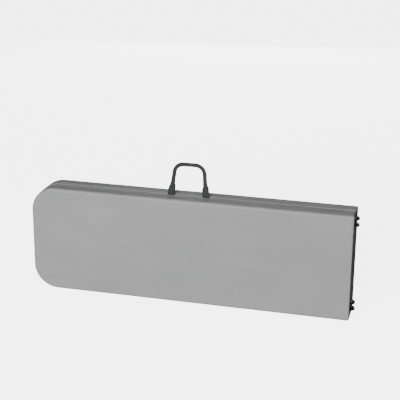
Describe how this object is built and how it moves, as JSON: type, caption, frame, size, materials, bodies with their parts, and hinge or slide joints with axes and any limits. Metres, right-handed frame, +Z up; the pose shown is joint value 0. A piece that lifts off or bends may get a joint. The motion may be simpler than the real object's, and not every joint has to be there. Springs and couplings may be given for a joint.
{
  "type": "folding table",
  "caption": "Fold-in-half low table of bench width with blow-moulded top, shown folded shut on its long edge, with folding U-shaped legs, braces and a webbing carry strap.",
  "frame": {"origin": "middle of the base of the folded table, standing on its long edge", "axes": "+X along the length towards the fold, +Y through the thickness towards the rear half, +Z up across the width"},
  "size_m": [0.9254, 0.093, 0.3995],
  "materials": {
    "moulded_plastic": "fine pebble texture, grey",
    "black_steel": "black powder coat",
    "grey_steel": "grey powder coat, satin",
    "zinc": "bright zinc plate",
    "nylon": "natural nylon",
    "black_plastic": "black, matt",
    "webbing": "woven polypropylene webbing, charcoal"
  },
  "bodies": {
    "front_half": {"front_top": "moulded_plastic", "front_rail_screws": "zinc", "front_brace_plate": "grey_steel", "front_brace_lugs": "grey_steel", "front_bracket_screws": "zinc", "front_brace_pin": "zinc", "front_rail_upper": "grey_steel", "front_pivot_bracket_upper": "grey_steel", "front_rail_lower": "grey_steel", "front_pivot_bracket_lower": "grey_steel", "hinge_fork_upper": "black_steel", "hinge_pin_upper": "zinc", "hinge_washers_upper": "nylon", "hinge_fork_lower": "black_steel", "hinge_pin_lower": "zinc", "hinge_washers_lower": "nylon", "strap_ends": "webbing", "strap_anchor_plates": "zinc", "strap_anchor_screws": "zinc"},
    "rear_half": {"rear_top": "moulded_plastic", "rear_rail_screws": "zinc", "rear_brace_plate": "grey_steel", "rear_brace_lugs": "grey_steel", "rear_bracket_screws": "zinc", "rear_brace_pin": "zinc", "rear_rail_upper": "grey_steel", "rear_pivot_bracket_upper": "grey_steel", "rear_rail_lower": "grey_steel", "rear_pivot_bracket_lower": "grey_steel", "hinge_tongue_upper": "black_steel", "hinge_tongue_lower": "black_steel"},
    "front_leg": {"front_leg_frame": "grey_steel", "front_leg_pivot_tube": "grey_steel", "front_leg_cross_bar": "grey_steel", "front_leg_bush_upper": "nylon", "front_foot_sleeve_upper": "black_plastic", "front_leg_bush_lower": "nylon", "front_foot_sleeve_lower": "black_plastic"},
    "rear_leg": {"rear_leg_frame": "grey_steel", "rear_leg_pivot_tube": "grey_steel", "rear_leg_cross_bar": "grey_steel", "rear_leg_bush_upper": "nylon", "rear_foot_sleeve_upper": "black_plastic", "rear_leg_bush_lower": "nylon", "rear_foot_sleeve_lower": "black_plastic"},
    "front_link": {"front_brace_link": "grey_steel", "front_elbow_spacer": "zinc"},
    "rear_link": {"rear_brace_link": "grey_steel", "rear_elbow_spacer": "zinc"},
    "front_fork": {"front_brace_fork": "grey_steel", "front_fork_rivets": "zinc"},
    "rear_fork": {"rear_brace_fork": "grey_steel", "rear_fork_rivets": "zinc"},
    "strap": {"carry_strap": "webbing"}
  },
  "joints": [
    {"name": "centre_fold", "type": "hinge", "parent": "front_half", "child": "rear_half", "pos_m": [0.45225, 0, 0.1525], "axis": [0, 0, -1], "range_deg": [0, 180]},
    {"name": "front_leg_pivot", "type": "hinge", "parent": "front_half", "child": "front_leg", "pos_m": [-0.34275, -0.0175, 0.1525], "axis": [0, 0, 1], "range_deg": [0, 90]},
    {"name": "front_link_pivot", "type": "hinge", "parent": "front_half", "child": "front_link", "pos_m": [-0.09275, -0.0175, 0.1525], "axis": [0, 0, 1], "range_deg": [0, 149.05]},
    {"name": "front_fork_pivot", "type": "hinge", "parent": "front_leg", "child": "front_fork", "pos_m": [-0.19275, -0.0175, 0.1525], "axis": [0, 0, -1], "range_deg": [0, 120.97]},
    {"name": "rear_leg_pivot", "type": "hinge", "parent": "rear_half", "child": "rear_leg", "pos_m": [-0.34275, 0.0175, 0.1525], "axis": [0, 0, -1], "range_deg": [0, 90]},
    {"name": "rear_link_pivot", "type": "hinge", "parent": "rear_half", "child": "rear_link", "pos_m": [-0.09275, 0.0175, 0.1525], "axis": [0, 0, -1], "range_deg": [0, 149.05]},
    {"name": "rear_fork_pivot", "type": "hinge", "parent": "rear_leg", "child": "rear_fork", "pos_m": [-0.19275, 0.0175, 0.1525], "axis": [0, 0, 1], "range_deg": [0, 120.97]},
    {"name": "strap_flop", "type": "hinge", "parent": "front_half", "child": "strap", "pos_m": [-0.01325, 0, 0.3085], "axis": [1, 0, 0], "range_deg": [-75, 75]}
  ],
  "couplings": [
    {"joint": "front_leg_pivot", "follows": "centre_fold", "ratio": 0.5},
    {"joint": "front_link_pivot", "follows": "centre_fold", "ratio": 0.82798},
    {"joint": "front_fork_pivot", "follows": "centre_fold", "ratio": 0.67202},
    {"joint": "rear_leg_pivot", "follows": "centre_fold", "ratio": 0.5},
    {"joint": "rear_link_pivot", "follows": "centre_fold", "ratio": 0.82798},
    {"joint": "rear_fork_pivot", "follows": "centre_fold", "ratio": 0.67202}
  ]
}
